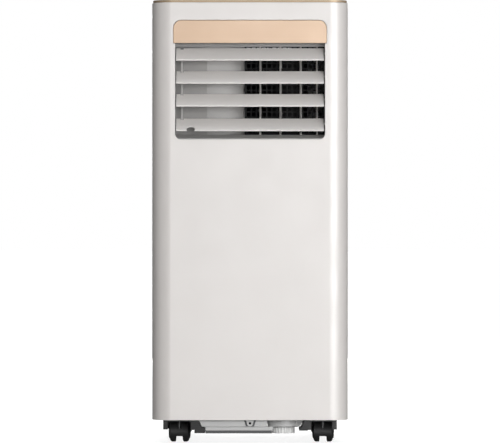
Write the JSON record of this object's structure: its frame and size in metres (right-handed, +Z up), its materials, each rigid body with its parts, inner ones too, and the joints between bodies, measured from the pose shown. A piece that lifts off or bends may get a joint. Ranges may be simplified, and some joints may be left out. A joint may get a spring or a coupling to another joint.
{
  "type": "portable air conditioner",
  "caption": "Tall white portable air conditioner with a louvred front outlet under a champagne trim band, rear exhaust collar and filter panel, top controls and twin-wheel casters.",
  "frame": {"origin": "on the floor under the middle of the casing", "axes": "+Z up along the tall side; -Y the front with the air outlet; +X to the right of someone facing the front"},
  "size_m": [0.303, 0.32, 0.684],
  "materials": {
    "casing_white": "satin",
    "champagne_trim": "satin",
    "duct_grey": "satin",
    "louvre_grey": "satin",
    "guard_black": "satin",
    "panel_black": "gloss",
    "smoked_lens": "gloss",
    "button_black": "satin",
    "pan_grey": "satin",
    "caster_black": "satin",
    "tread_black": "matte",
    "gland_rubber": "matte",
    "filter_mesh": "matte",
    "deck_grey": "matte",
    "coil_fins": "satin",
    "motor_steel": "satin",
    "compressor_black": "satin",
    "pipe_copper": "satin"
  },
  "bodies": {
    "casing": {"front_shell": "casing_white", "rear_shell": "casing_white", "top_cover": "champagne_trim", "control_panel": "panel_black", "display_window": "smoked_lens", "outlet_band": "champagne_trim", "outlet_duct": "duct_grey", "fan_guard": "guard_black", "base_pan": "pan_grey", "bracket_front_left": "caster_black", "bracket_front_right": "caster_black", "bracket_rear_left": "caster_black", "bracket_rear_right": "caster_black", "grip_left": "casing_white", "grip_right": "casing_white", "lower_grille": "casing_white", "hose_collar": "casing_white", "cord_gland": "gland_rubber", "mid_deck": "deck_grey", "blower_motor": "motor_steel", "blower_scroll": "duct_grey", "evaporator": "coil_fins", "condenser": "coil_fins", "condenser_motor": "motor_steel", "compressor": "compressor_black", "refrigerant_pipe": "pipe_copper", "control_box": "guard_black"},
    "louvre_1": {"louvre_1": "louvre_grey"},
    "louvre_2": {"louvre_2": "louvre_grey"},
    "louvre_3": {"louvre_3": "louvre_grey"},
    "louvre_4": {"louvre_4": "louvre_grey"},
    "louvre_link": {"louvre_link": "louvre_grey"},
    "vane_1": {"vane_1": "louvre_grey"},
    "vane_2": {"vane_2": "louvre_grey"},
    "vane_3": {"vane_3": "louvre_grey"},
    "vane_4": {"vane_4": "louvre_grey"},
    "vane_link": {"vane_link": "louvre_grey"},
    "button_power": {"button_power": "button_black"},
    "button_mode": {"button_mode": "button_black"},
    "button_fan": {"button_fan": "button_black"},
    "button_timer": {"button_timer": "button_black"},
    "button_up": {"button_up": "button_black"},
    "button_down": {"button_down": "button_black"},
    "caster_front_left": {"caster_front_left": "caster_black"},
    "wheel_front_left_a": {"wheel_front_left_a": "tread_black"},
    "wheel_front_left_b": {"wheel_front_left_b": "tread_black"},
    "caster_front_right": {"caster_front_right": "caster_black"},
    "wheel_front_right_a": {"wheel_front_right_a": "tread_black"},
    "wheel_front_right_b": {"wheel_front_right_b": "tread_black"},
    "caster_rear_left": {"caster_rear_left": "caster_black"},
    "wheel_rear_left_a": {"wheel_rear_left_a": "tread_black"},
    "wheel_rear_left_b": {"wheel_rear_left_b": "tread_black"},
    "caster_rear_right": {"caster_rear_right": "caster_black"},
    "wheel_rear_right_a": {"wheel_rear_right_a": "tread_black"},
    "wheel_rear_right_b": {"wheel_rear_right_b": "tread_black"},
    "filter_panel": {"upper_grille": "casing_white", "upper_filter": "filter_mesh"},
    "drain_cap": {"drain_cap": "pan_grey"},
    "blower_wheel": {"blower_wheel": "guard_black"},
    "condenser_fan": {"condenser_fan": "guard_black"}
  },
  "joints": [
    {"name": "louvre_1_tilt", "type": "hinge", "parent": "casing", "child": "louvre_1", "pos_m": [0, -0.1422, 0.6016], "axis": [1, 0, 0], "range_deg": [-20, 54]},
    {"name": "louvre_2_tilt", "type": "hinge", "parent": "casing", "child": "louvre_2", "pos_m": [0, -0.1422, 0.566], "axis": [1, 0, 0], "range_deg": [-20, 54]},
    {"name": "louvre_3_tilt", "type": "hinge", "parent": "casing", "child": "louvre_3", "pos_m": [0, -0.1422, 0.5306], "axis": [1, 0, 0], "range_deg": [-20, 54]},
    {"name": "louvre_4_tilt", "type": "hinge", "parent": "casing", "child": "louvre_4", "pos_m": [0, -0.1422, 0.4927], "axis": [1, 0, 0], "range_deg": [-20, 54]},
    {"name": "louvre_link_pivot", "type": "hinge", "parent": "louvre_1", "child": "louvre_link", "pos_m": [-0.1052, -0.12893, 0.60357], "axis": [1, 0, 0], "range_deg": [-54, 20]},
    {"name": "vane_1_swing", "type": "hinge", "parent": "casing", "child": "vane_1", "pos_m": [0.016, -0.107, 0.545], "axis": [0, 0, 1], "range_deg": [-32, 32]},
    {"name": "vane_2_swing", "type": "hinge", "parent": "casing", "child": "vane_2", "pos_m": [0.0473, -0.107, 0.545], "axis": [0, 0, 1], "range_deg": [-32, 32]},
    {"name": "vane_3_swing", "type": "hinge", "parent": "casing", "child": "vane_3", "pos_m": [0.0788, -0.107, 0.545], "axis": [0, 0, 1], "range_deg": [-32, 32]},
    {"name": "vane_4_swing", "type": "hinge", "parent": "casing", "child": "vane_4", "pos_m": [0.1042, -0.107, 0.545], "axis": [0, 0, 1], "range_deg": [-32, 32]},
    {"name": "vane_link_pivot", "type": "hinge", "parent": "vane_1", "child": "vane_link", "pos_m": [0.016, -0.0935, 0.4875], "axis": [0, 0, 1], "range_deg": [-32, 32]},
    {"name": "button_power_press", "type": "slide", "parent": "casing", "child": "button_power", "axis": [0, 0, -1], "range_m": [0, 0.001], "stiffness_N_per_m": 400, "springref_m": -0.0003},
    {"name": "button_mode_press", "type": "slide", "parent": "casing", "child": "button_mode", "axis": [0, 0, -1], "range_m": [0, 0.001], "stiffness_N_per_m": 400, "springref_m": -0.0003},
    {"name": "button_fan_press", "type": "slide", "parent": "casing", "child": "button_fan", "axis": [0, 0, -1], "range_m": [0, 0.001], "stiffness_N_per_m": 400, "springref_m": -0.0003},
    {"name": "button_timer_press", "type": "slide", "parent": "casing", "child": "button_timer", "axis": [0, 0, -1], "range_m": [0, 0.001], "stiffness_N_per_m": 400, "springref_m": -0.0003},
    {"name": "button_up_press", "type": "slide", "parent": "casing", "child": "button_up", "axis": [0, 0, -1], "range_m": [0, 0.001], "stiffness_N_per_m": 400, "springref_m": -0.0003},
    {"name": "button_down_press", "type": "slide", "parent": "casing", "child": "button_down", "axis": [0, 0, -1], "range_m": [0, 0.001], "stiffness_N_per_m": 400, "springref_m": -0.0003},
    {"name": "caster_front_left_swivel", "type": "hinge", "parent": "casing", "child": "caster_front_left", "pos_m": [-0.1098, -0.124, 0.034], "axis": [0, 0, 1], "continuous": true},
    {"name": "wheel_front_left_a_roll", "type": "hinge", "parent": "caster_front_left", "child": "wheel_front_left_a", "pos_m": [-0.10922, -0.11302, 0.0159], "axis": [0.9986, -0.0523, 0], "continuous": true},
    {"name": "wheel_front_left_b_roll", "type": "hinge", "parent": "caster_front_left", "child": "wheel_front_left_b", "pos_m": [-0.10922, -0.11302, 0.0159], "axis": [0.9986, -0.0523, 0], "continuous": true},
    {"name": "caster_front_right_swivel", "type": "hinge", "parent": "casing", "child": "caster_front_right", "pos_m": [0.113, -0.124, 0.034], "axis": [0, 0, 1], "continuous": true},
    {"name": "wheel_front_right_a_roll", "type": "hinge", "parent": "caster_front_right", "child": "wheel_front_right_a", "pos_m": [0.11358, -0.11302, 0.0159], "axis": [0.9986, -0.0523, 0], "continuous": true},
    {"name": "wheel_front_right_b_roll", "type": "hinge", "parent": "caster_front_right", "child": "wheel_front_right_b", "pos_m": [0.11358, -0.11302, 0.0159], "axis": [0.9986, -0.0523, 0], "continuous": true},
    {"name": "caster_rear_left_swivel", "type": "hinge", "parent": "casing", "child": "caster_rear_left", "pos_m": [-0.1098, 0.124, 0.034], "axis": [0, 0, 1], "continuous": true},
    {"name": "wheel_rear_left_a_roll", "type": "hinge", "parent": "caster_rear_left", "child": "wheel_rear_left_a", "pos_m": [-0.10922, 0.13498, 0.0159], "axis": [0.9986, -0.0523, 0], "continuous": true},
    {"name": "wheel_rear_left_b_roll", "type": "hinge", "parent": "caster_rear_left", "child": "wheel_rear_left_b", "pos_m": [-0.10922, 0.13498, 0.0159], "axis": [0.9986, -0.0523, 0], "continuous": true},
    {"name": "caster_rear_right_swivel", "type": "hinge", "parent": "casing", "child": "caster_rear_right", "pos_m": [0.113, 0.124, 0.034], "axis": [0, 0, 1], "continuous": true},
    {"name": "wheel_rear_right_a_roll", "type": "hinge", "parent": "caster_rear_right", "child": "wheel_rear_right_a", "pos_m": [0.11358, 0.13498, 0.0159], "axis": [0.9986, -0.0523, 0], "continuous": true},
    {"name": "wheel_rear_right_b_roll", "type": "hinge", "parent": "caster_rear_right", "child": "wheel_rear_right_b", "pos_m": [0.11358, 0.13498, 0.0159], "axis": [0.9986, -0.0523, 0], "continuous": true},
    {"name": "filter_panel_tilt", "type": "hinge", "parent": "casing", "child": "filter_panel", "pos_m": [0, 0.1597, 0.4304], "axis": [-1, 0, 0], "range_deg": [0, 35]},
    {"name": "drain_cap_turn", "type": "hinge", "parent": "casing", "child": "drain_cap", "pos_m": [0.052, -0.112, 0.02], "axis": [0, 0, 1], "range_deg": [0, 170]},
    {"name": "blower_wheel_spin", "type": "hinge", "parent": "casing", "child": "blower_wheel", "pos_m": [0.025, 0.01, 0.54], "axis": [0, 0, 1], "continuous": true},
    {"name": "condenser_fan_spin", "type": "hinge", "parent": "casing", "child": "condenser_fan", "pos_m": [0, 0.121, 0.29], "axis": [0, 1, 0], "continuous": true}
  ],
  "couplings": [
    {"joint": "louvre_2_tilt", "follows": "louvre_1_tilt", "ratio": 1},
    {"joint": "louvre_3_tilt", "follows": "louvre_1_tilt", "ratio": 1},
    {"joint": "louvre_4_tilt", "follows": "louvre_1_tilt", "ratio": 1},
    {"joint": "louvre_link_pivot", "follows": "louvre_1_tilt", "ratio": -1},
    {"joint": "vane_2_swing", "follows": "vane_1_swing", "ratio": 1},
    {"joint": "vane_3_swing", "follows": "vane_1_swing", "ratio": 1},
    {"joint": "vane_4_swing", "follows": "vane_1_swing", "ratio": 1},
    {"joint": "vane_link_pivot", "follows": "vane_1_swing", "ratio": -1}
  ]
}
